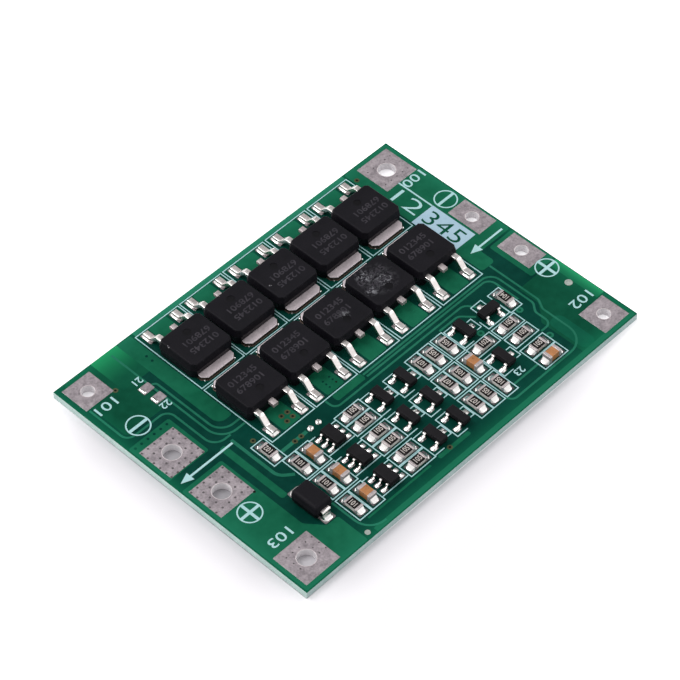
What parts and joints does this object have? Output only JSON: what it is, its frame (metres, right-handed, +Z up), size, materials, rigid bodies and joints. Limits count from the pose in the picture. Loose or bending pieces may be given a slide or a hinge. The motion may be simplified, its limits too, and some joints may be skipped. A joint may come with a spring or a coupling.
{
  "type": "battery management board",
  "caption": "Flat green circuit board that protects and balances a small lithium pack, with two rows of power transistors, rows of small control parts and plated wire terminals.",
  "frame": {"origin": "middle of the board's underside", "axes": "+X along the board's long side, towards the charge terminals; +Y towards the power transistors; +Z up out of the side that holds the parts"},
  "size_m": [0.055, 0.04, 0.0033],
  "materials": {
    "solder_mask": "glossy green solder mask on glass laminate",
    "tinned_land": "matt grey tinned copper",
    "power_package": "black moulding compound on tinned leads",
    "small_package": "black moulding compound on tinned leads",
    "resistor_body": "black glaze on ceramic with tinned ends",
    "capacitor_body": "tan ceramic with tinned ends"
  },
  "bodies": {
    "root": {"circuit_board": "solder_mask", "cell_1_terminal": "tinned_land", "cell_2_terminal": "tinned_land", "pack_plus_terminal": "tinned_land", "pack_minus_terminal": "tinned_land", "discharge_minus_terminal": "tinned_land", "discharge_plus_terminal": "tinned_land", "charge_minus_terminal": "tinned_land", "charge_plus_terminal": "tinned_land", "near_row_mosfet_1": "power_package", "near_row_mosfet_2": "power_package", "near_row_mosfet_3": "power_package", "near_row_mosfet_4": "power_package", "near_row_mosfet_5": "power_package", "far_row_mosfet_1": "power_package", "far_row_mosfet_2": "power_package", "far_row_mosfet_3": "power_package", "far_row_mosfet_4": "power_package", "far_row_mosfet_5": "power_package", "filter_resistor_1": "resistor_body", "filter_capacitor_1": "capacitor_body", "protection_ic_1": "small_package", "level_resistor_1": "resistor_body", "level_resistor_2": "resistor_body", "discharge_transistor_1": "small_package", "charge_transistor_1": "small_package", "gate_resistor_1": "resistor_body", "pull_resistor_1": "resistor_body", "filter_resistor_2": "resistor_body", "filter_capacitor_2": "capacitor_body", "protection_ic_2": "small_package", "level_resistor_3": "resistor_body", "level_resistor_4": "resistor_body", "discharge_transistor_2": "small_package", "charge_transistor_2": "small_package", "gate_resistor_2": "resistor_body", "pull_resistor_2": "resistor_body", "filter_resistor_3": "resistor_body", "filter_capacitor_3": "capacitor_body", "protection_ic_3": "small_package", "level_resistor_5": "resistor_body", "level_resistor_6": "resistor_body", "discharge_transistor_3": "small_package", "charge_transistor_3": "small_package", "gate_resistor_3": "resistor_body", "pull_resistor_3": "resistor_body", "bias_resistor_1": "resistor_body", "bias_capacitor": "capacitor_body", "bias_resistor_2": "resistor_body", "switch_transistor_1": "small_package", "bridge_resistor": "resistor_body", "switch_transistor_2": "small_package", "detect_transistor": "small_package", "sense_resistor_1": "resistor_body", "sense_resistor_2": "resistor_body", "sense_resistor_3": "resistor_body", "sense_capacitor": "capacitor_body", "side_resistor": "resistor_body", "supply_resistor": "resistor_body", "surge_diode": "small_package"}
  },
  "joints": []
}
